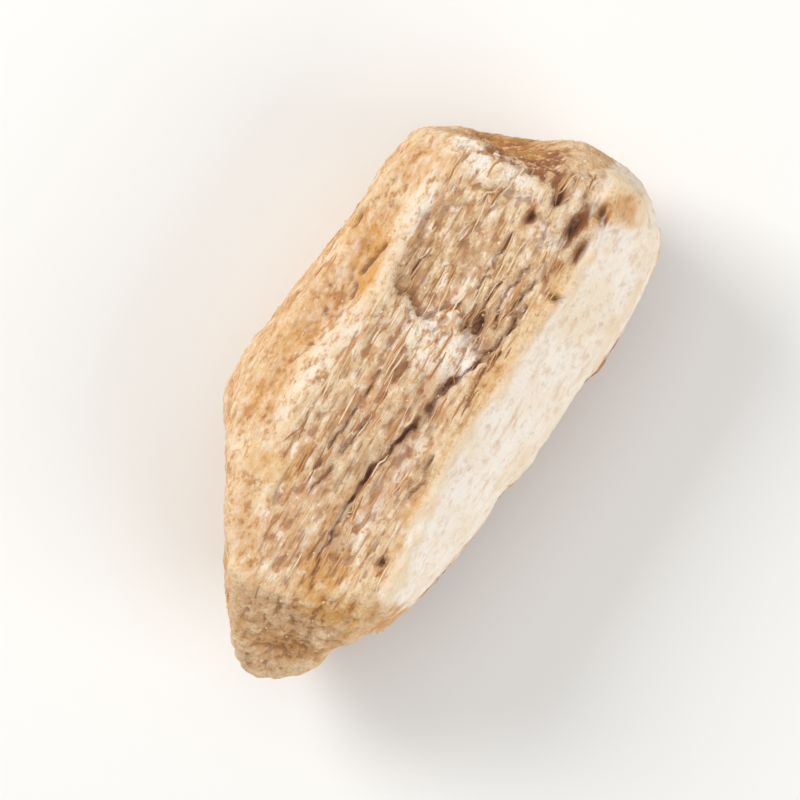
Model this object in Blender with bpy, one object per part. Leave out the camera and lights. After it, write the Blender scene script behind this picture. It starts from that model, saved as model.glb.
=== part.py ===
"""A cut and dried piece of orris root, lying on its lower face.

The root's fibres run along Y. The piece is longest along Y, the pale starchy flesh is on its +X side,
and the face that was split along the fibres is on top. Shapes are worked out in millimetres.
"""

import math

import bpy
import numpy as np
from mathutils import Vector, noise

MM = 0.001

# Driving dimensions, in millimetres.
LENGTH = 16.5
WIDTH = 8.5
HEIGHT = 6.3
WAIST = 3.3
CORE = np.array([0.0, 0.0, 3.0])
EDGE_SHARPNESS = 40.0
CELL = 0.34
FLAT_DEPTH = 0.13

# Corners of the outline seen from above, anticlockwise, at the height of the waist. Each side runs from
# its corner to the next. The two angles say how far it leans in from the upright above and below the waist.
OUTLINE = (
    ((4.30, 6.75), 20, 20),
    ((3.50, 7.90), 14, 26),
    ((1.00, 8.45), 8, 14),
    ((-3.25, 6.45), 12, 18),
    ((-4.35, -1.65), 15, 15),
    ((-4.15, -2.50), 5, 13),
    ((-0.65, -7.95), 10, 30),
    ((0.10, -8.45), 14, 36),
    ((1.55, -7.45), 12, 26),
    ((3.05, -4.90), 10, 20),
    ((4.10, 0.35), 8, 14),
)

# The other faces of the piece: a point on each, the bearing that it looks to and its slope. A slope above
# 90 degrees looks down.
OTHER_FACES = {
    "split face": ((0.0, 0.0, 6.25), 262, 2.0),
    "starchy band": ((2.10, 2.0, 6.20), 358, 42),
    "left shoulder": ((-1.90, 2.0, 6.15), 173, 31),
    "lower end": ((0.20, -5.55, 5.95), 288, 46),
    "upper end": ((-1.00, 6.35, 6.15), 106, 50),
    "upper lobe": ((2.00, 6.60, 6.05), 74, 22),
    "base": ((0.0, 0.0, 0.0), 0, 180),
    "base, right": ((1.90, 0.0, 0.0), 0, 168),
    "base, left": ((-2.10, 0.0, 0.0), 180, 170),
    "base, lower end": ((0.0, -3.9, 0.0), 270, 167),
    "base, upper end": ((0.0, 4.5, 0.0), 95, 170),
}

# Low swells and hollows all over the piece: distance from one to the next, and height.
SWELLS = ((4.2, 0.24), (1.9, 0.13))

# Fibre grain, drawn out along Y: distance across the fibres, distance along them, and height.
GRAIN = ((1.15, 7.0, 0.12), (0.70, 4.0, 0.06))

# Ridges and furrows on the upper faces: the line that each follows in plan, its half-width and its height.
UPPER_LINES = {
    "band ridge": (((2.45, 6.1), (2.2, 3.3), (2.05, 0.9), (1.85, -0.7), (2.1, -2.7), (2.2, -4.7)), 0.36, 0.16),
    "left ridge": (((-2.0, 5.8), (-1.95, 3.6), (-1.8, 2.5), (-2.25, 1.1), (-2.6, -0.3), (-2.3, -1.4)), 0.40, 0.20),
    "left channel": (((-3.1, 3.4), (-2.7, 2.6), (-2.6, 1.7), (-2.9, 0.6)), 0.48, -0.22),
    "main split": (((1.25, 1.6), (0.95, 0.7), (0.65, -0.4), (0.35, -1.8), (0.1, -3.0)), 0.42, -0.36),
    "left split": (((-0.4, 0.8), (-0.65, -0.5), (-0.8, -2.1), (-0.95, -3.0)), 0.36, -0.14),
    "right split": (((1.7, 3.4), (1.55, 2.3), (1.5, 1.2)), 0.34, -0.14),
    "end ledge": (((-1.6, -5.75), (-0.2, -5.5), (0.7, -5.1), (1.5, -4.7)), 0.36, 0.12),
}

# Shallow torn hollows in the split face, with a wavering edge: centre in plan, half-size in plan, depth.
TORN_HOLLOWS = {
    "upper hollow": ((0.10, 3.95), (1.85, 1.90), 0.40),
    "long hollow": ((0.0, -1.30), (1.65, 3.70), 0.18),
}
HOLLOW_WAVER = 0.30

# Dents anywhere on the piece: centre, radius, depth.
DENTS = {
    "upper end scoop": ((-1.2, 7.1, 4.3), 1.70, 0.80),
    "upper end hollow": ((-0.4, 7.2, 5.5), 0.80, 0.18),
    "band nick": ((3.9, -1.0, 3.6), 0.60, 0.20),
    "neck": ((2.15, -6.3, 3.6), 0.95, 0.42),
    "end hollow": ((0.7, -7.1, 4.5), 0.75, 0.24),
    "upper pit": ((1.75, 5.80, 6.1), 0.36, 0.26),
    "upper pit beside": ((0.98, 6.30, 6.1), 0.36, 0.24),
    "left cut scoop": ((-3.2, -4.9, 1.9), 1.80, 0.34),
    "left side scoop": ((-4.2, 3.4, 2.0), 1.70, 0.26),
    "right side scoop": ((4.1, 0.6, 1.4), 1.40, 0.26),
    "base scoop": ((-1.6, 5.6, 0.4), 1.60, 0.30),
    "base furrow": ((2.2, -3.2, 0.3), 1.30, 0.26),
}

# Round scars where a rootlet grew: centre, radius to the rim.
ROOTLET_SCARS = {
    "lobe scar": ((2.70, 7.10, 5.80), 0.48),
    "rind scar, upper": ((3.85, 3.70, 2.2), 0.95),
    "rind scar, lower": ((3.50, -2.60, 2.2), 0.85),
}
SCAR_RIM = 0.14
SCAR_PIT = 0.24


def face_normal(bearing, slope):
    """Outward normal of a face that looks towards a bearing and slopes down that way, both in degrees."""
    turn, tip = math.radians(bearing), math.radians(slope)
    return np.array([math.sin(tip) * math.cos(turn), math.sin(tip) * math.sin(turn), math.cos(tip)])


def faces_of_the_piece():
    """Every flat face of the piece as (unit normal, distance from the core)."""
    faces = []
    for (corner, lean, undercut), (following, _, _) in zip(OUTLINE, OUTLINE[1:] + OUTLINE[:1]):
        along = np.subtract(following, corner)
        bearing = math.degrees(math.atan2(-along[0], along[1]))
        for slope in (90 - lean, 90 + undercut):
            faces.append(((*corner, WAIST), bearing, slope))
    faces.extend(OTHER_FACES.values())
    normals = [face_normal(bearing, slope) for _, bearing, slope in faces]
    return [(normal, normal @ (point - CORE)) for normal, (point, _, _) in zip(normals, faces)]


def box_grid():
    """Points and four-sided faces of a box as large as the piece, centred on zero and divided into cells."""
    size = np.array([WIDTH, LENGTH, HEIGHT])
    counts = np.round(size / CELL).astype(int)
    index = {}
    quads = []
    for axis in range(3):
        u, v = (axis + 1) % 3, (axis + 2) % 3
        for end in (0, counts[axis]):
            for i, j in np.ndindex(counts[u], counts[v]):
                ring = []
                for du, dv in ((0, 0), (1, 0), (1, 1), (0, 1)):
                    key = [0, 0, 0]
                    key[axis], key[u], key[v] = int(end), i + du, j + dv
                    ring.append(index.setdefault(tuple(key), len(index)))
                quads.append(ring if end else ring[::-1])
    return np.array(list(index)) / counts * size - size / 2, quads


def rounded_body(rays):
    """Each ray from the core, cut to length by the flat faces, with the edges between them worn round."""
    share = np.zeros(len(rays))
    for normal, reach in faces_of_the_piece():
        share += np.clip(rays @ normal / reach, 0, None) ** EDGE_SHARPNESS
    return CORE + rays / share[:, None] ** (1 / EDGE_SHARPNESS)


def normals_of(points, quads):
    """Outward normal at each point, the mean of the faces round it."""
    quads = np.array(quads)
    corners = points[quads]
    across = np.cross(corners[:, 2] - corners[:, 0], corners[:, 3] - corners[:, 1])
    normals = np.zeros_like(points)
    for k in range(4):
        np.add.at(normals, quads[:, k], across)
    return normals / np.linalg.norm(normals, axis=1)[:, None]


def noise_at(points, spacing, seed):
    """Smooth noise from -1 to 1 at each point, with its own spacing along X, Y and Z."""
    shift = Vector((seed * 7.3, seed * 3.1, seed * 5.7))
    return np.array([noise.noise(Vector(p) + shift) for p in points / np.array(spacing)])


def bump(distance, radius):
    """1 at distance 0, falling smoothly to almost nothing at one and a half radii."""
    return np.exp(-1.6 * (distance / radius) ** 2)


def distance_to_line(plan, line):
    """How far each point in plan is from a line of straight stretches."""
    nearest = np.full(len(plan), np.inf)
    for start, end in zip(np.array(line[:-1]), np.array(line[1:])):
        run = end - start
        share = np.clip((plan - start) @ run / (run @ run), 0, 1)
        nearest = np.minimum(nearest, np.linalg.norm(plan - start - share[:, None] * run, axis=1))
    return nearest


def scar_profile(distance, radius):
    """Height of a rootlet scar: a raised rim at the radius round a sunken middle."""
    rim = SCAR_RIM * radius * bump(distance - radius, 0.5 * radius)
    return rim - SCAR_PIT * radius * bump(distance, 0.7 * radius)


def relief(points, normals):
    """Height to add at each point, along its normal."""
    height = np.zeros(len(points))
    for seed, (across, tall) in enumerate(SWELLS, 1):
        height += tall * noise_at(points, (across, across, across), seed)
    for seed, (across, along, tall) in enumerate(GRAIN, 11):
        height += tall * noise_at(points, (across, along, across), seed)
    upward = np.clip((normals[:, 2] - 0.25) / 0.35, 0, 1)
    plan = points[:, :2]
    for line, half_width, tall in UPPER_LINES.values():
        height += upward * tall * bump(distance_to_line(plan, line), half_width)
    waver = HOLLOW_WAVER * noise_at(points, (1.5, 1.5, 1.5), 21)
    for centre, half_size, depth in TORN_HOLLOWS.values():
        far = np.linalg.norm((plan - centre) / np.array(half_size), ord=3, axis=1) + waver
        height -= upward * depth * np.clip((1.12 - far) / 0.28, 0, 1)
    for centre, radius, depth in DENTS.values():
        height -= depth * bump(np.linalg.norm(points - centre, axis=1), radius)
    for centre, radius in ROOTLET_SCARS.values():
        height += scar_profile(np.linalg.norm(points - centre, axis=1), radius)
    return height


def trimmed_to_size(points):
    """The piece trimmed flat underneath, at its real size, with the middle of its base at the origin."""
    points = points.copy()
    points[:, 2] = np.maximum(points[:, 2], points[:, 2].min() + FLAT_DEPTH)
    low, high = points.min(0), points.max(0)
    foot = np.array([(low[0] + high[0]) / 2, (low[1] + high[1]) / 2, low[2]])
    return (points - foot) * np.array([WIDTH, LENGTH, HEIGHT]) / (high - low)


def root_material():
    """Dried orris root: pale tan, dry and dull."""
    material = bpy.data.materials.new("dried_root")
    material.use_nodes = True
    shader = material.node_tree.nodes["Principled BSDF"]
    shader.inputs["Base Color"].default_value = (0.68, 0.52, 0.34, 1.0)
    shader.inputs["Roughness"].default_value = 0.8
    shader.inputs["Metallic"].default_value = 0.0
    return material


def build_root():
    """The whole piece as one object."""
    rays, quads = box_grid()
    body = rounded_body(rays)
    normals = normals_of(body, quads)
    body = trimmed_to_size(body + normals * relief(body, normals)[:, None])
    mesh = bpy.data.meshes.new("orris_root")
    mesh.from_pydata((body * MM).tolist(), [], quads)
    mesh.materials.append(root_material())
    mesh.shade_smooth()
    root = bpy.data.objects.new("orris_root", mesh)
    bpy.context.collection.objects.link(root)
    return root


def main():
    for old in list(bpy.data.objects):
        bpy.data.objects.remove(old)
    build_root()


main()
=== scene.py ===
# %% [markdown]
# # A piece of dried orris root
#
# Orris root is the dried rhizome of an iris. This piece was chopped from one and split along its fibres,
# so it shows several surfaces at once: the torn fibrous core on top, a band of pale starchy flesh beside
# it, the brown rind below that, and blunt cut ends. The solid from the CAD model gives the form. This
# script gives that form its fine relief, its loose fibres and crumbs, and its colours.

# %% Load the frame
import math
import bpy
import numpy as np
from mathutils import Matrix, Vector, noise


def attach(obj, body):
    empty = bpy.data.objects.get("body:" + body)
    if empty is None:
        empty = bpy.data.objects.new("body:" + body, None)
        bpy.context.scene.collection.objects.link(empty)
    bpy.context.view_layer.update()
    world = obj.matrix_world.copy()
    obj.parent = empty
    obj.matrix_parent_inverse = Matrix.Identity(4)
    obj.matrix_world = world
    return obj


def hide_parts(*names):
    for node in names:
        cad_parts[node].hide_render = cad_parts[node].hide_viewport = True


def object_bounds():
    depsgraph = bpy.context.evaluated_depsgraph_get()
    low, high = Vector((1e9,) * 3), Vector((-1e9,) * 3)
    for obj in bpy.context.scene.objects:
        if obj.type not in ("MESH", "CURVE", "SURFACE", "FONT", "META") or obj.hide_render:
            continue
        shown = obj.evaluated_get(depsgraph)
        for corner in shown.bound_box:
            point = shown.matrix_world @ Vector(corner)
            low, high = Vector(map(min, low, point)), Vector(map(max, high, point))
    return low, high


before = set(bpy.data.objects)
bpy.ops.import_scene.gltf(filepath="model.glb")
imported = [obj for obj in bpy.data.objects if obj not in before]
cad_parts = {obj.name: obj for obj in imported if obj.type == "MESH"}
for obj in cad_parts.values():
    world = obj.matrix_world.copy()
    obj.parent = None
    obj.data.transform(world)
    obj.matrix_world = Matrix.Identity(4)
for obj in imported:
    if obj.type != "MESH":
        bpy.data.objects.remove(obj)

MM = 0.001


def corners_in_mm(box):
    """The lowest and highest corner of a box, as plain lists in millimetres."""
    return [[round(c / MM, 3) for c in corner] for corner in box]


cad_box = [list(corner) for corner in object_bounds()]
BOX_LOW = np.array(cad_box[0]) / MM
BOX_HIGH = np.array(cad_box[1]) / MM
print("CAD box in mm:", corners_in_mm(cad_box))

# %% [markdown]
# ## The working mesh
#
# The CAD solid is a net of loose triangles about a third of a millimetre wide. The fibres are finer than
# that. A copy of the net is joined up, turned back to four-sided faces and subdivided twice, which gives
# points less than a tenth of a millimetre apart. The CAD mesh itself is never touched.

# %% Copy, join and subdivide the solid
import bmesh

SUBDIVISIONS = 2
JOIN_DISTANCE = 1e-6
SAME_FACE = math.radians(60)


def finer_copy(node, name):
    """A joined and subdivided copy of a CAD node's mesh, as a new object."""
    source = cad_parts[node]
    net = bmesh.new()
    net.from_mesh(source.data)
    bmesh.ops.remove_doubles(net, verts=net.verts, dist=JOIN_DISTANCE)
    bmesh.ops.join_triangles(
        net, faces=net.faces, angle_face_threshold=SAME_FACE, angle_shape_threshold=SAME_FACE
    )
    mesh = bpy.data.meshes.new(name)
    net.to_mesh(mesh)
    net.free()
    copy = bpy.data.objects.new(name, mesh)
    bpy.context.scene.collection.objects.link(copy)
    finer = copy.modifiers.new("finer", "SUBSURF")
    finer.levels = finer.render_levels = SUBDIVISIONS
    settled = settled_mesh(copy)
    copy.modifiers.clear()
    copy.data = settled
    return copy


def settled_mesh(thing):
    """An object's shape with its modifiers applied, as a plain mesh."""
    graph = bpy.context.evaluated_depsgraph_get()
    mesh = bpy.data.meshes.new_from_object(thing.evaluated_get(graph))
    mesh.name = thing.name
    return mesh


root = finer_copy("orris_root", "root_piece")
print("points in the working mesh:", len(root.data.vertices))

# %% [markdown]
# ## Reading and shaping the surface with arrays
#
# Every point's place and outward direction go into arrays, in millimetres, so that relief can be written
# as plain formulas. Noise that is stretched along Y makes fibres, because the root's fibres run that way.

# %% Arrays and small formulas
def points_of(mesh):
    """Every point of a mesh in millimetres."""
    flat = np.empty(len(mesh.vertices) * 3)
    mesh.vertices.foreach_get("co", flat)
    return flat.reshape(-1, 3) / MM


def normals_of(mesh):
    """The outward direction at every point."""
    flat = np.empty(len(mesh.vertices) * 3)
    mesh.vertex_normals.foreach_get("vector", flat)
    return flat.reshape(-1, 3)


def put_points(mesh, points):
    """Move a mesh's points, kept inside the CAD box."""
    inside = np.clip(points, BOX_LOW, BOX_HIGH)
    mesh.vertices.foreach_set("co", (inside * MM).ravel())
    mesh.update()


def ramp(value, low, high):
    """0 below low and 1 above high, with a smooth rise between."""
    share = np.clip((value - low) / (high - low), 0, 1)
    return share * share * (3 - 2 * share)


def ripple(points, spacing, seed):
    """Smooth noise from about -1 to 1, with its own spacing along X, Y and Z in millimetres."""
    shift = Vector((seed * 5.3, seed * 9.1, seed * 3.7))
    return np.array([noise.noise(Vector(p) + shift) for p in points / np.array(spacing)])


def line_distance(x, y, line):
    """How far each place is from a line of straight stretches in plan."""
    nearest = np.full(len(x), np.inf)
    place = np.column_stack([x, y])
    for start, end in zip(np.array(line[:-1]), np.array(line[1:])):
        run = end - start
        share = np.clip((place - start) @ run / (run @ run), 0, 1)
        nearest = np.minimum(nearest, np.linalg.norm(place - start - share[:, None] * run, axis=1))
    return nearest


def along(place, stations):
    """A value that changes along one axis, given as (place, value) pairs in rising order."""
    return np.interp(place, [s[0] for s in stations], [s[1] for s in stations])


P = points_of(root.data)
N = normals_of(root.data)
X, Y, Z = P.T
print("points:", len(P), "in a box from", P.min(0).round(2), "to", P.max(0).round(2))

# %% [markdown]
# ## Which tissue is where
#
# An iris rhizome has a fibrous core, the stele, inside a starchy cortex, and a thin brown rind outside.
# On this piece the core fills the middle of the split face. To its right the cortex was left as a smooth
# sloping band, nearly white. The rind survives only low on that same side. Each tissue gets a mask that
# is 1 inside it and 0 outside, found from where a point is and which way it faces. The edges of the core
# are given as (y, x) pairs and the cut of the lower end as (x, y) pairs, and noise makes them waver.

# %% Edges of the tissues, in millimetres
CORE_LEFT = (
    (-8.0, -0.4), (-5.5, -1.2), (-3.5, -1.9), (-1.5, -2.35), (1.0, -1.95), (3.6, -1.9), (6.4, -1.9),
)
CORE_RIGHT = (
    (-8.0, 1.5), (-5.2, 1.85), (-3.6, 1.7), (-1.6, 1.65), (0.4, 1.8), (2.4, 2.0), (5.0, 2.25), (6.6, 2.2),
)
END_CUT = ((-1.7, -5.75), (-0.2, -5.5), (0.7, -5.1), (1.6, -4.65))
UPPER_END = 6.35
UPPER_END_SLANT = 0.29
RIND_TOP = 3.3
RIND_END = -6.4
FLAKED_SHARE = 0.6

waver = 0.16 * ripple(P, (0.9, 1.6, 0.9), 1)
facing_up = ramp(N[:, 2], 0.30, 0.62)
facing_end = ramp(np.abs(N[:, 1]), 0.62, 0.85)
left_edge = along(Y, CORE_LEFT) + waver
right_edge = along(Y, CORE_RIGHT) + 0.5 * waver
end_line = along(X, END_CUT) + waver
end_line += 0.22 * ripple(P, (0.45, 0.45, 0.45), 29)
rind_edge = RIND_TOP - 0.2 + 0.40 * ripple(P, (1.2, 1.4, 1.2), 2) + 0.16 * ripple(P, (0.3, 0.35, 0.3), 18)
print(f"the tissues' edges waver by up to {np.abs(waver).max():.2f} mm")

# %% Masks for the tissues
lower_end = ramp(end_line - Y, -0.12, 0.18) * ramp(Z, 2.2, 3.4)
upper_end = ramp(Y - UPPER_END - UPPER_END_SLANT * (X + 1), 0.0, 0.25) * ramp(N[:, 1], 0.45, 0.7)
band = ramp(X - right_edge, 0.0, 0.10) * ramp(N[:, 0], 0.02, 0.12)
band *= ramp(Z, RIND_TOP - 0.1, RIND_TOP + 0.5)
lobe = ramp(X + waver, 1.5, 2.1) * ramp(Y, 5.8, 6.5)
lobe *= ramp(Z, RIND_TOP, RIND_TOP + 0.6)
lobe *= ramp(N[:, 0], -0.5, -0.2)
band = np.maximum(band, 0.9 * lobe) * (1 - lower_end)
core = facing_up * ramp(X - left_edge, -0.1, 0.2) * ramp(right_edge - X, -0.06, 0.12)
core *= (1 - upper_end) * (1 - lobe)
rind = ramp(N[:, 0], 0.35, 0.55) * ramp(rind_edge - Z, -0.03, 0.08)
rind *= ramp(Y + waver, RIND_END, RIND_END + 0.5)
flaked = ramp(ripple(P, (0.8, 1.9, 0.8), 19) + 0.4 * ripple(P, (0.25, 0.5, 0.25), 20), 0.34, 0.44)
rind *= (1 - facing_end) * (1 - FLAKED_SHARE * flaked)
left_shoulder = ramp(N[:, 2], 0.15, 0.40) * ramp(left_edge - X, 0.0, 0.5) * (1 - facing_end)
split_sides = (1 - facing_up) * (1 - rind) * (1 - facing_end) * (1 - band)
for label, mask in {"core": core, "band": band, "rind": rind, "split sides": split_sides}.items():
    print(f"{label}: {100 * mask.mean():.0f} % of the points")

# %% [markdown]
# ## Fibres, hollows, cracks and pits
#
# When the root was split, its core tore into strands that stand up as fine ridges, with a long crack
# where two bundles parted and a hollow where a flake came away. The hollow's lower edge is a torn step,
# and its other edges fade out. Each feature is first placed in plan, as a line with a width or as an oval
# with a centre and half sizes, and turned into a mask. A rootlet scar on the rind is a ball in space.

# %% Places of the torn features, in millimetres in plan
MAIN_CRACK = (
    (1.65, 3.65), (1.40, 2.35), (1.20, 1.55), (0.95, 1.05), (0.75, 0.05), (0.50, -0.65), (0.30, -1.65),
    (0.15, -2.85), (0.10, -3.85),
)
MAIN_CRACK_WIDTH = (
    (-3.9, 0.04), (-3.0, 0.09), (-1.6, 0.15), (0.2, 0.16), (1.0, 0.13), (1.5, 0.05), (3.7, 0.04),
)
SOLID_SPLIT = ((1.25, 1.6), (0.95, 0.7), (0.65, -0.4), (0.35, -1.8), (0.1, -3.0))
SOLID_SPLIT_WIDTH = 0.34
FINE_CRACKS = {
    "right of the main crack": ((1.62, 2.3), (1.50, 1.5), (1.58, 0.7), (1.70, 0.0)),
    "left": ((-0.25, 0.9), (-0.45, -0.3), (-0.60, -1.6), (-0.85, -3.2)),
    "far left": ((-0.75, 0.4), (-0.95, -1.2), (-1.05, -2.6)),
    "upper": ((0.45, 5.1), (0.35, 4.0), (0.5, 2.3)),
    "hollow, right": ((1.20, 4.6), (1.05, 3.6), (1.15, 2.8)),
    "hollow, middle": ((0.78, 3.9), (0.70, 3.2), (0.74, 2.4)),
    "hollow, by the band": ((1.52, 4.3), (1.42, 3.3)),
    "hollow, left": ((-1.15, 3.6), (-1.25, 2.9)),
    "lower": ((0.35, -3.0), (0.15, -4.3), (0.35, -5.3)),
    "by the band": ((1.42, -0.9), (1.50, -1.6), (1.42, -2.3)),
    "left shoulder": ((-2.65, 0.2), (-2.95, -0.5)),
    "ochre channel": ((-2.25, 3.3), (-2.45, 2.5), (-2.40, 1.7)),
    "shoulder crease": ((-3.00, 1.7), (-2.80, 1.0)),
}
FINE_CRACK_WIDTH = 0.055
PITS = {
    "upper left pit": ((1.00, 6.45), (0.13, 0.34)),
    "upper right pit": ((1.72, 6.02), (0.14, 0.36)),
    "small upper pit": ((0.62, 5.65), (0.12, 0.16)),
    "pit by the band": ((2.20, 4.20), (0.22, 0.08)),
    "core pit": ((0.80, 2.65), (0.12, 0.28)),
    "low pit": ((1.60, -3.85), (0.13, 0.13)),
    "shoulder pit": ((-3.25, 3.55), (0.10, 0.22)),
    "pit between core and lobe": ((2.12, 5.55), (0.13, 0.36)),
    "pit on the lobe": ((2.20, 6.75), (0.16, 0.24)),
}
HOLLOW_LEFT = -1.80
HOLLOW_STEP = ((-1.8, 2.65), (-0.9, 2.35), (0.3, 2.30), (1.0, 1.90), (2.2, 1.80))
HOLLOW_TOP = 5.55
HOLLOW_RIGHT = 2.1
LOBE_SCAR = ((2.70, 7.15), 0.46)
KNOBBLY = ((1.75, 6.20), (1.35, 1.00))
RIND_SCARS = (((3.85, 3.70, 2.1), 0.92), ((3.50, -2.60, 1.9), 0.74))
print("fine cracks:", len(FINE_CRACKS), "and pits:", len(PITS))


# %% Masks for the cracks and pits
def groove(distance, half_width):
    """1 at the middle of a groove, 0 outside it."""
    return np.exp(-((distance / half_width) ** 2))


def oval(x, y, centre, half_size):
    """0 at the middle of an oval in plan, 1 on its edge, more outside."""
    return np.hypot((x - centre[0]) / half_size[0], (y - centre[1]) / half_size[1])


crack_x = X + 0.10 * ripple(P, (5, 0.50, 5), 3) + 0.05 * ripple(P, (0.3, 0.16, 5), 23)
main_crack = facing_up * groove(line_distance(crack_x, Y, MAIN_CRACK), along(Y, MAIN_CRACK_WIDTH))
main_crack *= 0.45 + 0.55 * ramp(ripple(P, (0.5, 0.40, 5), 24), -0.35, 0.15)
valley = facing_up * groove(line_distance(X, Y, SOLID_SPLIT), SOLID_SPLIT_WIDTH)
broken = ramp(ripple(P, (5, 0.55, 5), 4), -0.45, 0.05)
fine_crack = np.zeros(len(P))
for line in FINE_CRACKS.values():
    away = line_distance(crack_x, Y, line)
    fine_crack = np.maximum(fine_crack, broken * groove(away, FINE_CRACK_WIDTH))
fine_crack *= facing_up
pit = np.zeros(len(P))
for centre, half_size in PITS.values():
    pit = np.maximum(pit, facing_up * np.exp(-oval(X + waver * 0.3, Y, centre, half_size) ** 2))
print("points in the main crack:", int((main_crack > 0.5).sum()))

# %% Masks for the hollow and the scars
ragged = 0.34 * ripple(P, (0.22, 1.8, 5), 5) + 0.22 * ripple(P, (0.7, 2.5, 5), 21)
drift = 0.7 * ripple(P, (0.8, 1.4, 0.8), 22)
chipped = 0.45 * ripple(P, (5, 0.8, 5), 25) + 0.22 * ripple(P, (0.4, 0.3, 5), 26)
past_step = Y + ragged - along(X, HOLLOW_STEP)
hollow = core * ramp(past_step, 0.0, 0.13) * ramp(X + chipped - HOLLOW_LEFT, 0.0, 0.3)
# The foot of the torn step is cut deeper, and the stains paint it brown as shade.
step_foot_and_shade = hollow * groove(past_step - 0.16, 0.18) * ramp(1.5 - X, 0.0, 0.4)
hollow *= ramp(HOLLOW_TOP + drift - Y, 0.0, 1.3) * ramp(HOLLOW_RIGHT + 0.5 * drift - X, 0.0, 0.8)
scar_rim = np.zeros(len(P))
scar_pit = np.zeros(len(P))
broken_rim = 0.25 + 0.75 * ramp(ripple(P, (0.7, 0.7, 0.7), 30), -0.35, 0.25)
for centre, radius in RIND_SCARS:
    far = np.linalg.norm(P - centre, axis=1) / radius + waver
    rind = np.maximum(rind, 1 - ramp(far, 0.95, 1.25))
    scar_rim = np.maximum(scar_rim, broken_rim * groove(far - 0.95, 0.13))
    scar_pit = np.maximum(scar_pit, np.maximum(groove(far, 0.22), 0.5 * groove(far - 0.70, 0.10)))
lobe_scar = np.hypot(X - LOBE_SCAR[0][0], Y - LOBE_SCAR[0][1]) / LOBE_SCAR[1]
print("points in the hollow:", int((hollow > 0.5).sum()), "and in scar pits:", int((scar_pit > 0.5).sum()))

# %% [markdown]
# ## Fine relief
#
# All of it is one height along the surface's own normal, in millimetres, and is added up from noises and
# masks. Fibre noise is folded at zero, where it makes a crest, because torn fibres stand up as sharp
# ridges. The valley that the solid has along the main crack is partly filled first, so that the crack can
# be narrower than the solid's triangles. The flat spot that the piece rests on is left as it is.

# %% Noises of the fine relief
fibre = ripple(P, (0.17, 2.4, 0.17), 6)
strand = ripple(P, (0.42, 5.0, 0.42), 7)
short_fibre = ripple(P, (0.11, 0.7, 0.11), 8)
grit = ripple(P, (0.16, 0.16, 0.16), 9)
clod = ripple(P, (0.24, 0.36, 0.24), 17)
lumps = ripple(P, (0.7, 0.9, 0.7), 10)
wrinkle = ripple(P, (0.9, 1.3, 0.26), 11)
ring = ripple(P, (3.0, 0.36, 3.0), 12)
fibrous = core + 0.55 * split_sides + 0.25 * facing_up * (1 - band)
torn = ramp(short_fibre, 0.05, 0.5)
knobs = ripple(P, (0.42, 0.55, 0.42), 28)
shoulder_lumps = ripple(P, (0.75, 1.0, 0.75), 31)
print("noises reach:", {"fibre": round(fibre.max(), 2), "strand": round(strand.max(), 2)})

# %% Heights of the fine relief
MAIN_CRACK_DEPTH = 0.22
FINE_CRACK_DEPTH = 0.11
PIT_DEPTH = 0.28
VALLEY_FILL = 0.17
HOLLOW_DEPTH = 0.07
STEP_DEPTH = 0.08
KNOB_HEIGHT = 0.19
SHOULDER_LUMP_HEIGHT = 0.07
SCAR_RIM_HEIGHT = 0.16
SCAR_PIT_DEPTH = 0.20
FOOT_THICKNESS = 0.01

height = 0.014 * grit + 0.030 * clod + 0.035 * lumps
height += fibrous * (0.040 * strand + 0.028 * (0.35 - np.abs(fibre)) + 0.030 * short_fibre + 0.040 * clod)
height += band * (0.012 * grit + 0.020 * lumps)
height += rind * (0.035 + 0.075 * wrinkle + 0.055 * ring)
height += SHOULDER_LUMP_HEIGHT * left_shoulder * shoulder_lumps
height += (
    VALLEY_FILL * valley - MAIN_CRACK_DEPTH * main_crack - FINE_CRACK_DEPTH * fine_crack
    - PIT_DEPTH * pit
)
height -= hollow * (HOLLOW_DEPTH + 0.06 * torn + 0.04 * clod) + STEP_DEPTH * step_foot_and_shade
height += 0.05 * core * ramp(np.abs(strand), 0.25, 0.5) * (1 - hollow)
height += KNOB_HEIGHT * knobs * facing_up * (1 - ramp(oval(X, Y, *KNOBBLY), 0.5, 1.1))
height += facing_up * (0.07 * groove(lobe_scar - 1, 0.28) - 0.10 * groove(lobe_scar, 0.7))
height -= facing_end * (0.025 * torn + 0.03 * ramp(ripple(P, (0.3, 0.9, 0.3), 13), 0.1, 0.4))
height -= lower_end * 0.035 * ramp(ripple(P, (0.30, 2.5, 1.2), 14), 0.0, 0.35)
height += SCAR_RIM_HEIGHT * scar_rim - SCAR_PIT_DEPTH * scar_pit
on_foot = Z < BOX_LOW[2] + FOOT_THICKNESS
height[on_foot] = 0
shaped = P + N * height[:, None]
put_points(root.data, shaped)
root.data.shade_smooth()
P = points_of(root.data)
N = normals_of(root.data)
print(f"fine relief from {height.min():.2f} to {height.max():.2f} mm")

# %% [markdown]
# ## Hollows and worn edges, measured from the mesh
#
# Hollows are darkened with painted shade, and edges are rubbed pale. Both can be measured: a point lies in
# a hollow when the average of the points round it is further out than the point itself. Two sizes of
# neighbourhood are used, a close one for the fibres and a wide one for the edges of the piece.

# %% Measure how hollow or proud each point is
CLOSE_PASSES = 4
WIDE_PASSES = 60
CLOSE_SCALE = 0.035
WIDE_SCALE = 0.30


def averaged(points, ends, passes):
    """Every point moved to the middle of its neighbours, a number of times."""
    count = np.bincount(ends.ravel(), minlength=len(points))[:, None]
    for _ in range(passes):
        total = np.zeros_like(points)
        for k in range(3):
            total[:, k] = np.bincount(ends[:, 0], points[ends[:, 1], k], len(points))
            total[:, k] += np.bincount(ends[:, 1], points[ends[:, 0], k], len(points))
        points = 0.5 * points + 0.5 * total / count
    return points


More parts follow.
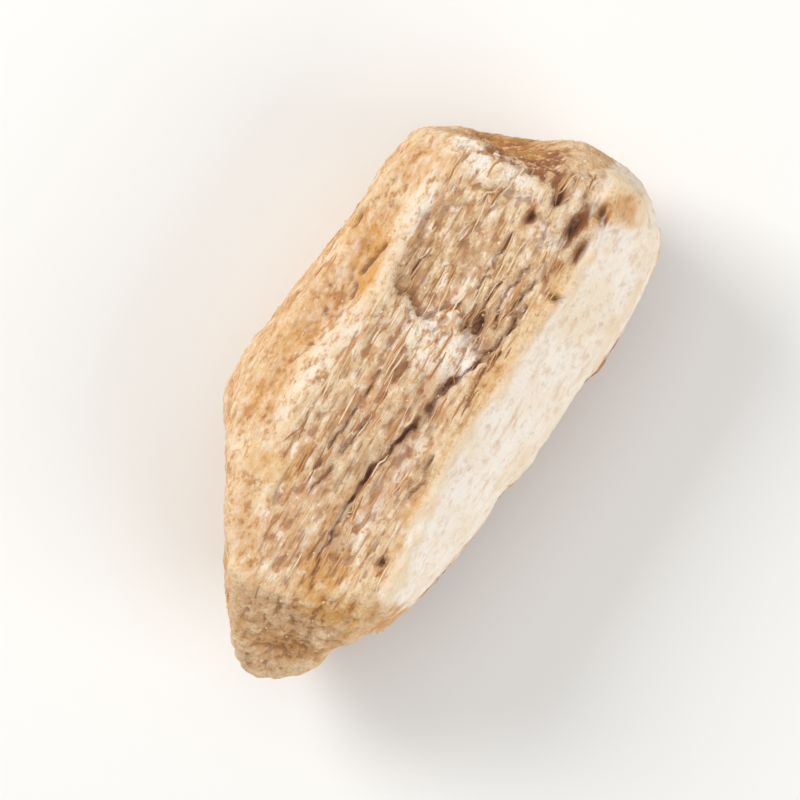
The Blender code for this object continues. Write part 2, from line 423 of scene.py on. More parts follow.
ends = np.empty(len(root.data.edges) * 2, dtype=int)
root.data.edges.foreach_get("vertices", ends)
ends = ends.reshape(-1, 2)
close = ((averaged(P, ends, CLOSE_PASSES) - P) * N).sum(1)
wide = ((averaged(P, ends, WIDE_PASSES) - P) * N).sum(1)
# How hollow each point lies. The material uses it to paint shade into the hollows.
cavity = np.clip(0.5 + close / CLOSE_SCALE + wide / WIDE_SCALE, 0, 1)
worn = ramp(-wide, 0.012, 0.08)
print(f"hollow points {100 * (cavity > 0.7).mean():.0f} %, worn points {100 * (worn > 0.5).mean():.0f} %")

# %% [markdown]
# ## Stains and painted shade
#
# The core is tan with brown streaks. It is greyer in the hollow and ochre where resin dried: along the
# band's border, in the channel on the left shoulder and above the lower end. The crack and the pits are
# painted dark purple-brown as shade. Brown patches also paint shade: over the brown upper end face, round
# the pits by the lobe and along the foot of the torn step. Each stain or patch of shade is a soft oval in
# plan with a ragged edge, given by its centre, its half sizes and its strength. Every mask goes to the
# material as an attribute, a number stored on every point of the mesh.

# %% Places of the stains
OCHRE_PATCHES = (
    ((-2.45, 2.70), (0.42, 1.15), 1.0),
    ((-3.20, 3.30), (0.30, 0.55), 0.8),
    ((2.70, 7.10), (0.60, 0.50), 0.9),
    ((-1.80, 5.85), (0.35, 0.35), 0.7),
    ((0.80, -5.10), (0.90, 0.95), 0.9),
    ((1.70, 1.30), (0.32, 1.50), 0.8),
    ((2.10, 3.90), (0.28, 1.80), 0.6),
    ((-1.90, -3.10), (0.90, 0.45), 0.5),
    ((-3.10, -0.50), (0.60, 1.60), 0.35),
    ((-0.60, 7.30), (0.90, 0.50), 0.6),
)
PALE_PATCHES = (
    ((-0.80, 6.35), (1.70, 0.45), 1.3),
    ((0.10, 1.65), (1.45, 0.75), 1.2),
    ((-1.95, 4.20), (0.30, 2.00), 0.9),
    ((-2.35, -0.50), (0.32, 1.30), 0.8),
    ((-2.10, 1.20), (0.30, 0.90), 0.7),
    ((1.20, 5.45), (0.45, 0.35), 0.8),
    ((0.90, -1.05), (0.22, 0.75), 0.7),
    ((0.70, -3.00), (0.30, 1.00), 0.5),
    ((0.02, 2.30), (0.16, 1.30), 0.8),
    ((1.40, 5.60), (0.28, 0.45), 1.0),
    ((2.35, 6.10), (0.30, 0.42), 1.0),
    ((1.42, 6.60), (0.22, 0.40), 0.9),
    ((3.15, 6.70), (0.28, 0.55), 1.0),
)
BROWN_PATCHES = (
    ((0.95, 2.55), (0.62, 0.72), 0.75),
    ((-1.45, 3.00), (0.55, 0.70), 0.60),
    ((1.85, 4.85), (0.42, 0.65), 0.6),
    ((-0.50, 0.65), (0.45, 0.55), 0.75),
    ((0.40, -0.90), (0.60, 2.20), 0.85),
    ((-0.60, -1.60), (0.60, 1.70), 0.55),
    ((1.45, -1.60), (0.25, 0.75), 0.7),
    ((0.20, -4.60), (0.70, 0.80), 0.45),
    ((1.35, 6.20), (0.62, 0.45), 0.45),
    ((-1.35, 1.30), (0.30, 0.70), 0.4),
    # The next five: the brown upper end face darkened with painted shade, then painted shade round four
    # pits near the lobe.
    ((-0.20, 7.15), (1.45, 0.65), 2.2),
    ((1.75, 6.05), (0.45, 0.70), 1.5),
    ((0.95, 6.55), (0.40, 0.50), 1.4),
    ((2.25, 6.70), (0.32, 0.42), 1.6),
    ((2.10, 5.50), (0.22, 0.50), 1.3),
)
print("stains:", len(OCHRE_PATCHES), "ochre,", len(PALE_PATCHES), "pale and", len(BROWN_PATCHES), "brown")


# %% Store every mask on the mesh
def patches(listed, edge_noise):
    """The strongest of several soft ovals at each point."""
    strongest = np.zeros(len(P))
    for centre, half_size, strength in listed:
        inside = 1 - ramp(oval(X, Y, centre, half_size) + edge_noise, 0.55, 1.25)
        strongest = np.maximum(strongest, strength * inside)
    return strongest * ramp(N[:, 2], 0.0, 0.4)


border = groove(X - right_edge + 0.06, 0.09) * facing_up * ramp(ripple(P, (0.6, 0.9, 0.6), 27), -0.3, 0.2)
edge_noise = 0.45 * ripple(P, (0.35, 0.8, 0.35), 15) + 0.25 * ripple(P, (0.16, 0.6, 0.16), 16)
TISSUES = {
    "core": core,
    "band": band,
    "rind": rind,
    "ends": np.maximum(facing_end * (1 - 0.9 * lobe), lower_end),
    "hollow": hollow,
    # dark: the cracks and pits, painted dark as shade.
    "dark": np.clip(main_crack + 0.65 * fine_crack + 0.85 * pit, 0, 1),
    "ochre": np.maximum(patches(OCHRE_PATCHES, edge_noise), border),
    # brown: real brown stains, with painted shade on the upper end face, round the pits by the lobe and
    # along the foot of the step.
    "brown": np.maximum(patches(BROWN_PATCHES, edge_noise), 0.9 * step_foot_and_shade),
    "pale": patches(PALE_PATCHES, edge_noise),
    "scar_rim": scar_rim,
    "scar_pit": scar_pit,
    "cavity": cavity,
    "worn": worn,
    "fibre_room": np.clip(core * (1 - 0.6 * main_crack) + 0.20 * split_sides, 0, 1) * (1 - lower_end),
    "crumb_room": np.clip(0.3 - 0.24 * band + 0.7 * hollow + 0.3 * facing_end, 0, 1) * (1 - rind),
}


def store(mesh, name, values):
    """Keep one number for every point of a mesh."""
    layer = mesh.attributes.new(name, "FLOAT", "POINT")
    layer.data.foreach_set("value", values.astype(np.float32))


for name, values in TISSUES.items():
    store(root.data, name, values)
print("stored:", ", ".join(TISSUES))

# %% [markdown]
# ## Writing node trees as expressions
#
# A material here is a sum of many masks and noises. Written out node by node it would be hard to read, so
# a small class wraps a socket and lets Python's operators add the Math nodes. The same class serves the
# Geometry Nodes trees, which have the same Math node.

# %% A class that wraps a socket
class Value:
    """A socket that numbers can be added to, taken from and multiplied with."""

    def __init__(self, graph, socket):
        self.graph = graph
        self.socket = socket

    def maths(self, operation, first, second):
        """A Math node on two numbers or sockets."""
        return self.graph.node("ShaderNodeMath", {"operation": operation}, {0: first, 1: second})

    def beside(self, out):
        """Another output of the same node."""
        return Value(self.graph, self.socket.node.outputs[out])

    def __add__(self, other):
        return self.maths("ADD", self, other)

    def __sub__(self, other):
        return self.maths("SUBTRACT", self, other)

    def __mul__(self, other):
        return self.maths("MULTIPLY", self, other)

    def __pow__(self, other):
        return self.maths("POWER", self, other)

    def __radd__(self, other):
        return self.maths("ADD", other, self)

    def __rsub__(self, other):
        return self.maths("SUBTRACT", other, self)

    def __rmul__(self, other):
        return self.maths("MULTIPLY", other, self)

    def between(self, low, high):
        """0 below low and 1 above high, with a smooth rise between."""
        settings = {"interpolation_type": "SMOOTHSTEP"}
        sockets = {"Value": self, "From Min": low, "From Max": high}
        return self.graph.node("ShaderNodeMapRange", settings, sockets)


print("sockets now take the operators + - * and **")


# %% A class that adds nodes to a tree
class Graph:
    """A node tree that nodes are added to by one method."""

    def __init__(self, tree):
        self.tree = tree

    def node(self, kind, settings=None, sockets=None, out=0):
        """Add a node, set it up, fill its sockets and give back one of its outputs."""
        made = self.tree.nodes.new(kind)
        for key, value in (settings or {}).items():
            setattr(made, key, value)
        for key, value in (sockets or {}).items():
            if isinstance(value, Value):
                self.tree.links.new(value.socket, made.inputs[key])
            else:
                made.inputs[key].default_value = value
        return Value(self, made.outputs[out])


print("helpers for a tree:", [name for name in vars(Graph) if not name.startswith("_")])

# %% [markdown]
# ## The flesh
#
# The colours were chosen to match the photograph and are given as they look on a screen. They run from
# the near white of dry starch, through cream and tan, to the brown of the rind and a dark purple-brown.
# That dark colour is painted shade in the crack and the pits, and it is also the real colour of the rind's
# scar pits.
# Noise patterns read the place on the piece in millimetres, so that their sizes can be compared with the
# real fibres and grains.

# %% Colours as they look on a screen
def screen_colour(red, green, blue):
    """A colour given as it looks on a screen, from 0 to 255, made linear for the shader."""
    return tuple((c / 255) ** 2.2 for c in (red, green, blue)) + (1.0,)


STARCH = screen_colour(253, 243, 230)
CREAM = screen_colour(243, 219, 181)
TAN = screen_colour(223, 181, 136)
PINK_TAN = screen_colour(217, 167, 127)
DEEP_TAN = screen_colour(195, 139, 89)
FLECK = screen_colour(166, 112, 74)
OCHRE_TAN = screen_colour(212, 158, 102)
OCHRE = screen_colour(218, 160, 84)
DARK_OCHRE = screen_colour(180, 118, 54)
BROWN = screen_colour(152, 99, 67)
RIND_BROWN = screen_colour(178, 130, 88)
RIND_DARK = screen_colour(124, 82, 54)
# Dark purple-brown: painted shade in the crack and the pits, and the real colour of the rind's scar pits.
CRACK = screen_colour(102, 66, 54)
GREY_TAN = screen_colour(190, 153, 115)
print("starch as the shader sees it:", [round(c, 2) for c in STARCH[:3]])


# %% Helpers for the finishes
class Finish(Graph):
    """A material whose nodes read the piece's own place in millimetres."""

    def __init__(self, name):
        self.material = bpy.data.materials.new(name)
        self.material.use_nodes = True
        super().__init__(self.material.node_tree)
        self.tree.nodes.clear()
        place = self.node("ShaderNodeTexCoord", out="Object")
        self.place = self.node("ShaderNodeVectorMath", {"operation": "SCALE"}, {0: place, "Scale": 1 / MM})

    def stored(self, name):
        """One of the numbers kept on the mesh."""
        return self.node("ShaderNodeAttribute", {"attribute_name": name}, out="Fac")

    def stretched(self, spacing):
        """The place with each axis divided by its own spacing."""
        return self.node("ShaderNodeVectorMath", {"operation": "DIVIDE"}, {0: self.place, 1: spacing})

    def noise(self, spacing, detail=3.0, rough=0.55, bend=0.0):
        """Noise from 0 to 1 with its own spacing along X, Y and Z in millimetres."""
        sockets = {"Vector": self.stretched(spacing), "Scale": 1.0, "Distortion": bend}
        sockets |= {"Detail": detail, "Roughness": rough}
        return self.node("ShaderNodeTexNoise", None, sockets)

    def dots(self, spacing, jitter=1.0):
        """Distance to the nearest of many scattered dots, 0 on a dot."""
        sockets = {"Vector": self.stretched(spacing), "Scale": 1.0, "Randomness": jitter}
        return self.node("ShaderNodeTexVoronoi", None, sockets)

    def mix(self, share, first, second):
        """One colour laid over another by a share. The node's colours are its sockets 6 and 7."""
        settings = {"data_type": "RGBA", "clamp_factor": True}
        return self.node("ShaderNodeMix", settings, {0: share, 6: first, 7: second}, out=2)

    def bump(self, height, depth_mm, under=None):
        """Fine relief of a given depth, laid over other fine relief."""
        sockets = {"Height": height, "Distance": depth_mm * MM, "Strength": 1.0}
        if under:
            sockets["Normal"] = under
        return self.node("ShaderNodeBump", None, sockets)

    def close(self, colour, rough, normal, constant):
        """Join colour, roughness and normal to the shader, with the settings that are the same all over."""
        sockets = {"Base Color": colour, "Roughness": rough, "Normal": normal} | constant
        shader = self.node("ShaderNodeBsdfPrincipled", {"subsurface_method": "RANDOM_WALK"}, sockets)
        output = self.tree.nodes.new("ShaderNodeOutputMaterial")
        self.tree.links.new(shader.socket, output.inputs["Surface"])
        return self.material


print("helpers for a finish:", [name for name in vars(Finish) if not name.startswith("_")])

# %% [markdown]
# ## One material for every tissue
#
# The tissues pass into each other on one surface, so they share one material. Each tissue's colour is
# worked out first, as streaks and mottling over a ground colour, and the stored masks then lay them over
# one another: cortex, core, band, cut ends and rind. Stains, brown patches of painted shade, specks,
# painted shade in the hollows, worn edges and painted shade in the cracks and pits come last. Streaks run
# along Y and are narrow, because they are the fibres themselves.

# %% Patterns and masks that the tissues share
class Flesh(Finish):
    """The finish of the split and cut root."""

    def __init__(self, name):
        super().__init__(name)
        self.fine = self.noise((0.075, 0.8, 0.075), detail=4.0, rough=0.6)
        self.streak = self.noise((0.20, 1.8, 0.20), detail=3.0, rough=0.6, bend=0.3)
        self.broad = self.noise((0.8, 2.2, 0.8), detail=3.0)
        self.cloud = self.noise((1.6, 1.6, 1.6), detail=4.0, rough=0.6)
        self.grain = self.noise((0.09, 0.11, 0.09), detail=2.0, rough=0.7)
        self.mottle = self.noise((0.24, 0.40, 0.24), detail=3.0, rough=0.68)
        self.bundle = self.dots((0.24, 2.0, 0.24), jitter=0.9)
        self.band = self.stored("band")
        self.worn = self.stored("worn")


flesh = Flesh("dried_orris_flesh")
print("nodes for the shared patterns:", len(flesh.tree.nodes))


# %% Colours of the cortex, the core and the band
def cortex_colour(f):
    """Cream and tan, mottled with deep tan and flecked with starch."""
    colour = f.mix(f.cloud.between(0.46, 0.78), TAN, CREAM)
    colour = f.mix(f.streak.between(0.52, 0.72) * 0.35, colour, DEEP_TAN)
    colour = f.mix(f.mottle.between(0.50, 0.64) * 0.90, colour, DEEP_TAN)
    return f.mix(f.mottle.between(0.48, 0.34) * 0.40, colour, STARCH)


def core_colour(f):
    """Cream and tan strands, with fine brown lines and flecks of starch."""
    colour = f.mix(f.streak.between(0.34, 0.60), TAN, CREAM)
    colour = f.mix(f.broad.between(0.42, 0.62) * 0.55, colour, PINK_TAN)
    colour = f.mix(f.mottle.between(0.48, 0.66) * 0.65, colour, DEEP_TAN)
    colour = f.mix(f.fine.between(0.52, 0.68) * 0.55, colour, BROWN)
    return f.mix(f.mottle.between(0.47, 0.36) * f.fine.between(0.60, 0.40) * 0.90, colour, STARCH)


def band_colour(f):
    """Nearly white starch, a little tan where it is worn."""
    colour = f.mix(f.cloud.between(0.40, 0.65) * 0.52, STARCH, CREAM)
    colour = f.mix(f.streak.between(0.55, 0.75) * 0.45, colour, TAN)
    colour = f.mix(f.mottle.between(0.50, 0.66) * 0.32, colour, PINK_TAN)
    return f.mix(f.worn * 0.35, colour, TAN)


tissue = {"cortex": cortex_colour(flesh), "core": core_colour(flesh), "band": band_colour(flesh)}
print("nodes with the split face:", len(flesh.tree.nodes))


# %% Colours of the rind and the cut ends
def rind_colour(f):
    """Brown bark with fine wrinkles, paler on the rims of its scars and dark in their pits."""
    wrinkled = f.noise((0.5, 0.5, 0.16), detail=4.0, rough=0.65)
    colour = f.mix(wrinkled.between(0.38, 0.62), RIND_DARK, RIND_BROWN)
    colour = f.mix(f.grain.between(0.55, 0.72) * 0.5, colour, DEEP_TAN)
    colour = f.mix(f.stored("scar_rim") * (0.45 + f.mottle * 0.5), colour, TAN)
    return f.mix(f.stored("scar_pit") * 0.90, colour, CRACK)


def end_colour(f):
    """Ochre tan, dotted with the ends of the bundles."""
    colour = f.mix(f.cloud.between(0.35, 0.6), OCHRE_TAN, TAN)
    colour = f.mix(f.bundle.between(0.28, 0.12) * 0.25, colour, BROWN)
    colour = f.mix(f.streak.between(0.50, 0.70) * 0.30, colour, DARK_OCHRE)
    colour = f.mix(f.fine.between(0.52, 0.68) * 0.40, colour, BROWN)
    return f.mix(f.mottle.between(0.46, 0.34) * 0.6, colour, CREAM)


tissue |= {"rind": rind_colour(flesh), "ends": end_colour(flesh)}
print("nodes with the rind and the ends:", len(flesh.tree.nodes))


# %% Lay the tissues and the stains over one another
def tissues_laid(f, tissue):
    """Each tissue's colour where its mask says."""
    colour = f.mix(f.stored("core"), tissue["cortex"], tissue["core"])
    colour = f.mix(f.band, colour, tissue["band"])
    colour = f.mix(f.stored("ends") * 0.85, colour, tissue["ends"])
    return f.mix(f.stored("rind"), colour, tissue["rind"])


def stains_laid(f, colour):
    """Grey in the hollow, pale patches, brown patches with painted shade among them, ochre patches, specks,
    painted shade in hollows, wear and painted shade in the cracks and pits.
    """
    off_band = 1 - f.band * 0.8
    colour = f.mix(f.stored("hollow") * (0.05 + f.mottle.between(0.42, 0.60) * 0.45), colour, GREY_TAN)
    colour = f.mix(f.stored("pale") * f.mottle.between(0.66, 0.42) * 0.85, colour, STARCH)
    colour = f.mix(f.stored("brown") * f.streak.between(0.36, 0.60) * 0.75, colour, BROWN)
    colour = f.mix(f.stored("ochre") * f.broad.between(0.28, 0.50) * 0.85, colour, OCHRE)
    colour = f.mix(f.stored("ochre") * f.fine.between(0.55, 0.70) * 0.70, colour, DARK_OCHRE)
    specks = f.dots((0.30, 0.42, 0.30)).between(0.22, 0.08) * f.mottle.between(0.45, 0.6) * off_band
    colour = f.mix(specks * 0.65, colour, BROWN)
    flecks = f.dots((0.17, 0.24, 0.17)).between(0.34, 0.14) * f.mottle.between(0.40, 0.6) * off_band
    colour = f.mix(flecks * 0.50, colour, FLECK)
    # Painted shade: the hollows are darkened with brown, less on the band.
    colour = f.mix(f.stored("cavity").between(0.58, 1.00) * (0.55 - f.band * 0.35), colour, BROWN)
    colour = f.mix(f.worn * f.grain.between(0.30, 0.60) * (1 - f.stored("rind")) * 0.70, colour, CREAM)
    # Painted shade: the cracks and pits are darkened to purple-brown.
    return f.mix(f.stored("dark") * (0.50 + f.mottle.between(0.35, 0.60) * 0.45), colour, CRACK)


flesh_colour = stains_laid(flesh, tissues_laid(flesh, tissue))
print("nodes with the stains:", len(flesh.tree.nodes))


# %% Roughness, fine bump and the rest of the shader
def flesh_relief(f):
    """Streaks and mottling, then grain, then the bundles' ends, each shallower than the last."""
    relief = f.bump(f.streak * 0.4 + f.mottle * 0.5 + f.fine * (0.20 + f.stored("core") * 0.40), 0.10)
    relief = f.bump(f.grain, 0.026, relief)
    return f.bump(f.bundle * f.stored("ends"), 0.02, relief)


SAME_ALL_OVER = {
    "Subsurface Weight": 0.08, "Subsurface Radius": (0.9, 0.6, 0.35), "Subsurface Scale": 0.4 * MM,
    "Specular IOR Level": 0.3,
}
flesh_rough = 0.86 - flesh.band * 0.10 - flesh.worn * 0.08 + flesh.grain * 0.08
root.data.materials.clear()
root.data.materials.append(flesh.close(flesh_colour, flesh_rough, flesh_relief(flesh), SAME_ALL_OVER))
print("flesh nodes:", len(flesh.tree.nodes))

# %% [markdown]
# ## Loose fibres
#
# Torn vascular bundles lie on the split face like fine hairs, most of them still half sunk in the flesh.
# They repeat and follow a surface, which is work for Geometry Nodes: points are scattered where the mesh
# says there is room, a short line along Y is put on each, every point of every line is laid on the
# nearest flesh, and a thin tube with pointed ends is run along it.

# %% A class for trees that grow things on the flesh
class Growth(Graph):
    """A Geometry Nodes tree with named inputs."""

    def __init__(self, name, inputs):
        super().__init__(bpy.data.node_groups.new(name, "GeometryNodeTree"))
        face = self.tree.interface
        face.new_socket("Geometry", in_out="INPUT", socket_type="NodeSocketGeometry")
        face.new_socket("Geometry", in_out="OUTPUT", socket_type="NodeSocketGeometry")
        for label, kind in inputs.items():
            face.new_socket(label, in_out="INPUT", socket_type=kind)
        self.entry = self.tree.nodes.new("NodeGroupInput")

    def given(self, label):
        """One of the tree's inputs."""
        return Value(self, self.entry.outputs[label])

    def chance(self, low, high, seed):
        """A random number for each element."""
        sockets = {2: low, 3: high, "Seed": seed}
        return self.node("FunctionNodeRandomValue", {"data_type": "FLOAT"}, sockets, out=1)

    def vector(self, x, y, z):
        """Three numbers joined to a vector."""
        return self.node("ShaderNodeCombineXYZ", None, {0: x, 1: y, 2: z})

    def vector_maths(self, operation, first, second):
        """A Vector Math node on two vectors."""
        return self.node("ShaderNodeVectorMath", {"operation": operation}, {0: first, 1: second})

    def room(self, name):
        """A number kept on the flesh."""
        return self.node("GeometryNodeInputNamedAttribute", {"data_type": "FLOAT"}, {"Name": name})

    def finish(self, geometry):
        """Make the result plain geometry with the given material."""
        plain = self.node("GeometryNodeRealizeInstances", None, {"Geometry": geometry})
        plain = self.node("GeometryNodeSetShadeSmooth", None, {0: plain})
        sockets = {"Geometry": plain, "Material": self.given("Material")}
        plain = self.node("GeometryNodeSetMaterial", None, sockets)
        output = self.tree.nodes.new("NodeGroupOutput")
        self.tree.links.new(plain.socket, output.inputs[0])
        return self.tree


print("helpers for a growth:", [name for name in vars(Growth) if not name.startswith("_")])

# %% The tree that lays fibres on the flesh
FIBRE_POINTS = 15
TUBE_SIDES = 5
SWAY = 0.22 * MM
SWAY_SCALE = 900.0


def fibre_tree():
    """Thin tubes laid along Y on the flesh."""
    g = Growth("fibres_on_flesh", {
        "Fibres per square millimetre": "NodeSocketFloat", "Length": "NodeSocketFloat",
        "Thickness": "NodeSocketFloat", "Sunk": "NodeSocketFloat", "Lifted tip": "NodeSocketFloat",
        "Turn": "NodeSocketFloat", "Seed": "NodeSocketInt", "Material": "NodeSocketMaterial",
    })
    flesh, seed = g.given("Geometry"), g.given("Seed")
    density = g.room("fibre_room") * g.given("Fibres per square millimetre") * (1 / MM / MM)
    sockets = {"Mesh": flesh, "Density": density, "Seed": seed}
    scattered = g.node("GeometryNodeDistributePointsOnFaces", None, sockets)
    line = g.node("GeometryNodeCurvePrimitiveLine", None, {"Start": (0, -0.5, 0), "End": (0, 0.5, 0)})
    line = g.node("GeometryNodeResampleCurve", None, {"Curve": line, "Count": FIBRE_POINTS})
    size = g.given("Length") * g.chance(0.35, 1.5, seed + 1)
    turn = g.vector(0, 0, g.given("Turn") * g.chance(-1.0, 0.6, seed + 2))
    sockets = {"Points": scattered, "Instance": line, "Rotation": turn, "Scale": g.vector(1, size, 1)}
    placed = g.node("GeometryNodeInstanceOnPoints", None, sockets)
    settings = {"data_type": "FLOAT", "domain": "INSTANCE"}
    for k, name in enumerate(("fibre_shade", "fibre_girth", "fibre_lift")):
        sockets = {"Geometry": placed, "Name": name, "Value": g.chance(0.0, 1.0, seed + 3 + k)}
        placed = g.node("GeometryNodeStoreNamedAttribute", settings, sockets)
    lines = g.node("GeometryNodeRealizeInstances", None, {"Geometry": placed})
    place = g.node("GeometryNodeInputPosition")
    sockets = {"Vector": place, "Scale": SWAY_SCALE, "Detail": 2.0}
    sway = g.node("ShaderNodeTexNoise", None, sockets, out="Color")
    sway = g.vector_maths("SUBTRACT", sway, (0.5, 0.5, 0.5))
    sway = g.vector_maths("MULTIPLY", sway, (SWAY, 0.0, 0.0))
    lines = g.node("GeometryNodeSetPosition", None, {"Geometry": lines, "Offset": sway})
    normal = g.node("GeometryNodeInputNormal")
    sampled = {"Mesh": flesh, "Sample Position": place}
    settings = {"data_type": "FLOAT_VECTOR"}
    nearest = g.node("GeometryNodeSampleNearestSurface", settings, sampled | {"Value": place})
    outward = g.node("GeometryNodeSampleNearestSurface", settings, sampled | {"Value": normal})
    step = g.node("GeometryNodeSplineParameter")
    middle = 1 - (2 * step - 1) ** 2
    tip = step.between(0.45, 1.0) * g.room("fibre_lift").between(0.55, 1.0) * g.given("Lifted tip")
    girth = g.given("Thickness") * (0.45 + g.room("fibre_girth"))
    rise = girth * (0.5 - g.given("Sunk")) - girth * 0.6 * (1 - middle) + tip
    raised = g.vector_maths("MULTIPLY", outward, g.vector(rise, rise, rise))
    laid = g.vector_maths("ADD", nearest, raised)
    lines = g.node("GeometryNodeSetPosition", None, {"Geometry": lines, "Position": laid})
    taper = girth * 0.5 * (0.15 + 0.85 * middle)
    outline = g.node("GeometryNodeCurvePrimitiveCircle", None, {"Resolution": TUBE_SIDES, "Radius": 1.0})
    sockets = {"Curve": lines, "Profile Curve": outline, "Scale": taper, "Fill Caps": True}
    return g.finish(g.node("GeometryNodeCurveToMesh", None, sockets))


strands = fibre_tree()
print("nodes in the fibre tree:", len(strands.nodes))

# %% [markdown]
# ## Growing the fibres
#
# A tree runs as a modifier on a copy of the flesh. Its inputs are set by their identifiers, the result is
# taken as a plain mesh and the modifier is removed. The same tree is run twice: once for the many fibres
# that lie flat along the grain, and once for a few that turn away from it and lift at one tip.

# %% Grow a piece and settle it as a plain mesh
def grown(name, tree, inputs):
    """Run a tree on the flesh and keep the result as a plain piece inside the CAD box."""
    piece = bpy.data.objects.new(name, root.data.copy())
    bpy.context.scene.collection.objects.link(piece)
    growth = piece.modifiers.new(name, "NODES")
    growth.node_group = tree
    sockets = {item.name: item.identifier for item in tree.interface.items_tree if item.in_out == "INPUT"}
    for label, value in inputs.items():
        growth[sockets[label]] = value
    mesh = settled_mesh(piece)
    piece.modifiers.clear()
    piece.data = mesh
    put_points(mesh, points_of(mesh))
    triangles = sum(len(face.vertices) - 2 for face in mesh.polygons)
    print(f"{name}: {len(mesh.vertices)} points, {triangles} triangles")
    return piece


# %% Flat and frayed fibres
def fibre_finish():
    """Dry bundles: cream to brown, each with its own shade, streaked along their length."""
    f = Finish("dried_fibre")
    shade = f.stored("fibre_shade")
    streak = f.noise((0.06, 0.7, 0.06), detail=2.0)
    colour = f.mix(shade.between(0.0, 0.5), CREAM, TAN)
    colour = f.mix(shade.between(0.4, 0.75), colour, DEEP_TAN)
    colour = f.mix(shade.between(0.75, 0.95) * 0.7, colour, BROWN)
    colour = f.mix(streak.between(0.50, 0.72) * 0.45, colour, DEEP_TAN)
    return f.close(colour, 0.8 + streak * 0.1, f.bump(streak, 0.01), {"Specular IOR Level": 0.35})


fibre_material = fibre_finish()
fibres = grown("torn_fibres", strands, {
    "Fibres per square millimetre": 3.0, "Length": 1.0 * MM, "Thickness": 0.050 * MM, "Sunk": 0.38,
    "Lifted tip": 0.0, "Turn": 0.10, "Seed": 3, "Material": fibre_material,
})
frayed = grown("frayed_fibres", strands, {
    "Fibres per square millimetre": 0.5, "Length": 0.8 * MM, "Thickness": 0.050 * MM, "Sunk": 0.35,
    "Lifted tip": 0.16 * MM, "Turn": 0.35, "Seed": 41, "Material": fibre_material,
})

# %% [markdown]
# ## Crumbs of starch
#
# Dry starch breaks off in grains that cling to the torn flesh and the cut ends. Each is a small knob,
# sunk into the surface. Thousands would be needed to cover the piece, but a few hundred catch the light
# and break up its smooth stretches.

# %% The tree that scatters crumbs
CRUMB_SUNK = -0.15
FULL_TURN = 6.28
CRUMB_ROUGH = 0.04 * MM
CRUMB_ROUGH_SCALE = 16000.0


def crumb_tree():
    """Small sunk knobs scattered over the flesh."""
    g = Growth("crumbs_on_flesh", {
        "Crumbs per square millimetre": "NodeSocketFloat", "Size": "NodeSocketFloat",
        "Seed": "NodeSocketInt", "Material": "NodeSocketMaterial",
    })
    flesh, seed = g.given("Geometry"), g.given("Seed")
    density = g.room("crumb_room") * g.given("Crumbs per square millimetre") * (1 / MM / MM)
    sockets = {"Mesh": flesh, "Density": density, "Seed": seed}
    scattered = g.node("GeometryNodeDistributePointsOnFaces", None, sockets)
    into = {0: scattered.beside("Normal"), "Scale": g.given("Size") * CRUMB_SUNK}
    into = g.node("ShaderNodeVectorMath", {"operation": "SCALE"}, into)
    scattered = g.node("GeometryNodeSetPosition", None, {"Geometry": scattered, "Offset": into})
    knob = g.node("GeometryNodeMeshIcoSphere", None, {"Radius": 0.5, "Subdivisions": 1})
    size = g.given("Size") * (0.35 + 0.9 * g.chance(0.0, 1.0, seed + 1) ** 2)
    turn = g.vector(*(g.chance(0, FULL_TURN, seed + k) for k in (2, 3, 4)))
    shape = g.vector(size, size * g.chance(0.9, 1.9, seed + 5), size * g.chance(0.6, 1.0, seed + 6))
    sockets = {"Points": scattered, "Instance": knob, "Rotation": turn, "Scale": shape}
    placed = g.node("GeometryNodeInstanceOnPoints", None, sockets)
    crumbs = g.node("GeometryNodeRealizeInstances", None, {"Geometry": placed})
    place = g.node("GeometryNodeInputPosition")
    sockets = {"Vector": place, "Scale": CRUMB_ROUGH_SCALE, "Detail": 1.0}
    rough = g.node("ShaderNodeTexNoise", None, sockets, out="Color")
    rough = g.vector_maths("SUBTRACT", rough, (0.5, 0.5, 0.5))
    rough = g.vector_maths("MULTIPLY", rough, (CRUMB_ROUGH, CRUMB_ROUGH, CRUMB_ROUGH))
    return g.finish(g.node("GeometryNodeSetPosition", None, {"Geometry": crumbs, "Offset": rough}))


scatter = crumb_tree()
print("nodes in the crumb tree:", len(scatter.nodes))


# %% Scatter the crumbs
def crumb_finish():
    """Pale dry starch."""
    f = Finish("starch_crumb")
    grain = f.noise((0.12, 0.12, 0.12), detail=2.0)
    colour = f.mix(grain.between(0.35, 0.65), CREAM, TAN)
    return f.close(colour, 0.85 + grain * 0.1, f.bump(grain, 0.01), {"Specular IOR Level": 0.3})


crumbs = grown("starch_crumbs", scatter, {
    "Crumbs per square millimetre": 5.0, "Size": 0.11 * MM, "Seed": 17, "Material": crumb_finish(),
})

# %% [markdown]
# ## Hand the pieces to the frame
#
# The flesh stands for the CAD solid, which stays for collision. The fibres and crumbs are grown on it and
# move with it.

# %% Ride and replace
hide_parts("orris_root")
for piece in (root, fibres, frayed, crumbs):
    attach(piece, "root")
print("pieces:", [piece.name for piece in (root, fibres, frayed, crumbs)])

# %% [markdown]
# ## Floor, light and camera
#
# The photograph looks straight down, with the piece turned about thirty degrees. It is lit by a large soft
# light from the upper left. A weaker one from the lower right brightens the pale band and keeps the
# shadows open, and a weak one hangs overhead. The floor is plain and nearly white.

# %% Make the floor, lights and camera
TURN = math.radians(29.2)
VIEW_WIDTH = 21.0 * MM
LENS = 180.0
SENSOR = 36.0
STUDIO = 0.16
CLIP_NEAR = 2 * MM
CLIP_FAR = 5.0
FLOOR_HALF = 0.6
FLOOR_HEIGHT = -0.02 * MM
WORLD_STRENGTH = 0.38


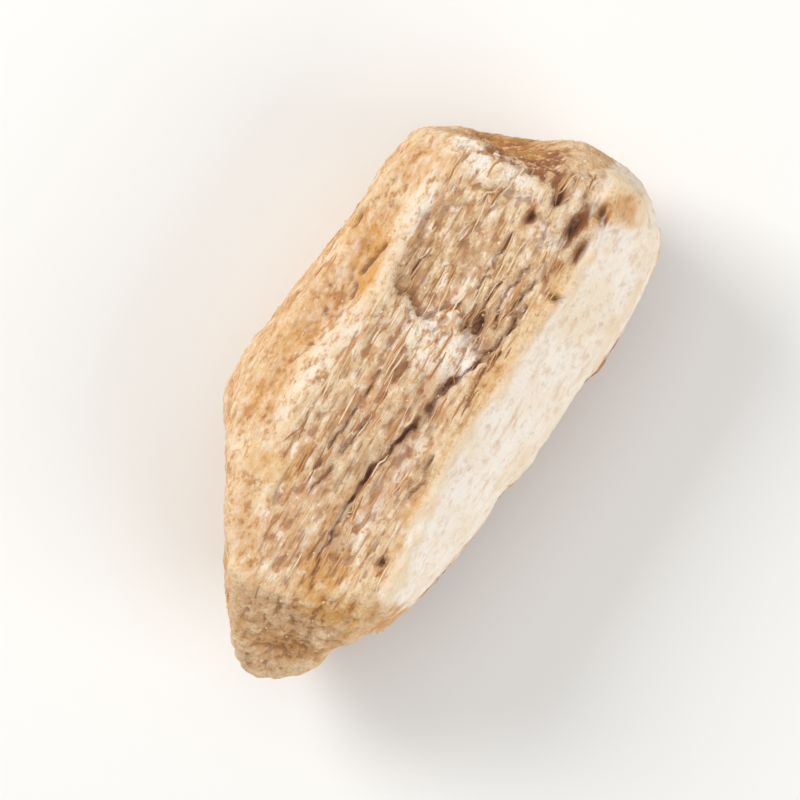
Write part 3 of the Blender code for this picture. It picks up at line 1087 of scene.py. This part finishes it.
def plain_floor():
    """A plain pale floor just under the piece."""
    mesh = bpy.data.meshes.new("floor")
    corners = ((-1, -1), (1, -1), (1, 1), (-1, 1))
    points = [(x * FLOOR_HALF, y * FLOOR_HALF, FLOOR_HEIGHT) for x, y in corners]
    mesh.from_pydata(points, [], [(0, 1, 2, 3)])
    floor = bpy.data.objects.new("floor", mesh)
    bpy.context.scene.collection.objects.link(floor)
    f = Finish("pale_floor")
    mottle = f.noise((30, 30, 30), detail=1.0)
    colour = f.mix(mottle, screen_colour(247, 247, 245), screen_colour(243, 243, 241))
    pale = f.close(colour, 0.7 + mottle * 0.1, f.bump(mottle, 0.01), {"Specular IOR Level": 0.2})
    mesh.materials.append(pale)
    return floor


def soft_light(name, across, up, height, size, power, colour=(1, 1, 1)):
    """A square light, placed across and up as the photograph shows it, and aimed at the piece."""
    data = bpy.data.lights.new(name, "AREA")
    data.size = size * STUDIO
    data.energy = power
    data.color = colour
    light = bpy.data.objects.new(name, data)
    bpy.context.scene.collection.objects.link(light)
    x = across * math.cos(TURN) - up * math.sin(TURN)
    y = across * math.sin(TURN) + up * math.cos(TURN)
    light.location = Vector((x, y, height)).normalized() * STUDIO
    light.rotation_euler = (-light.location).to_track_quat("-Z", "Y").to_euler()
    return light


def overhead_camera():
    """The photograph's view, straight down."""
    data = bpy.data.cameras.new("camera")
    data.lens = LENS
    data.sensor_width = SENSOR
    data.clip_start = CLIP_NEAR
    data.clip_end = CLIP_FAR
    camera = bpy.data.objects.new("camera", data)
    bpy.context.scene.collection.objects.link(camera)
    camera.location = (0, 0, VIEW_WIDTH * LENS / SENSOR + BOX_HIGH[2] / 2 * MM)
    camera.rotation_euler = (0, 0, TURN)
    bpy.context.scene.camera = camera
    return camera


print("the lights stand", round(STUDIO / MM), "mm away")

# %% Set up the studio
plain_floor()
soft_light("key", -1.0, 0.75, 0.95, 0.45, 0.156, (1.0, 0.985, 0.965))
soft_light("fill", 0.9, -0.6, 0.75, 0.8, 0.115, (1.0, 0.985, 0.97))
soft_light("top", 0.1, 0.4, 2.0, 0.9, 0.045)
world = bpy.data.worlds.new("studio")
world.use_nodes = True
background = world.node_tree.nodes["Background"]
background.inputs["Color"].default_value = (1.0, 1.0, 1.0, 1.0)
background.inputs["Strength"].default_value = WORLD_STRENGTH
bpy.context.scene.world = world
bpy.context.scene.view_settings.view_transform = "Standard"
camera = overhead_camera()
print("camera height in mm:", round(camera.location.z / MM, 1))

# %% [markdown]
